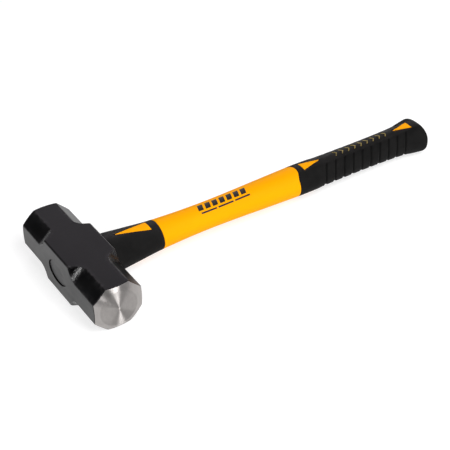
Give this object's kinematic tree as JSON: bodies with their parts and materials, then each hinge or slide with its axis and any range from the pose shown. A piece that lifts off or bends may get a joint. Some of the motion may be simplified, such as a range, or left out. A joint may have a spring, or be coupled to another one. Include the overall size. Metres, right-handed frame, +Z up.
{
  "type": "short sledge hammer",
  "caption": "Short double-faced sledge hammer: octagonal steel head on an oval glass-fibre handle with a yellow jacket, black overstrike collar and grooved flared grip.",
  "frame": {"origin": "centre of the lower cheek of the head, straight under the eye, on the surface the hammer lies on", "axes": "+X along the handle from the head to the butt, +Z up out of the upper cheek, +Y and -Y out of the two striking faces"},
  "size_m": [0.417, 0.144, 0.0444],
  "materials": {
    "head_steel": "satin",
    "core": "satin",
    "resin": "satin",
    "seal": "matte",
    "jacket": "satin",
    "grip_rubber": "matte"
  },
  "bodies": {
    "root": {"hammer_head": "head_steel", "fibreglass_core": "core", "eye_resin": "resin", "eye_seal": "seal", "handle_jacket": "jacket", "overstrike_collar": "grip_rubber", "rear_grip": "grip_rubber"}
  },
  "joints": []
}
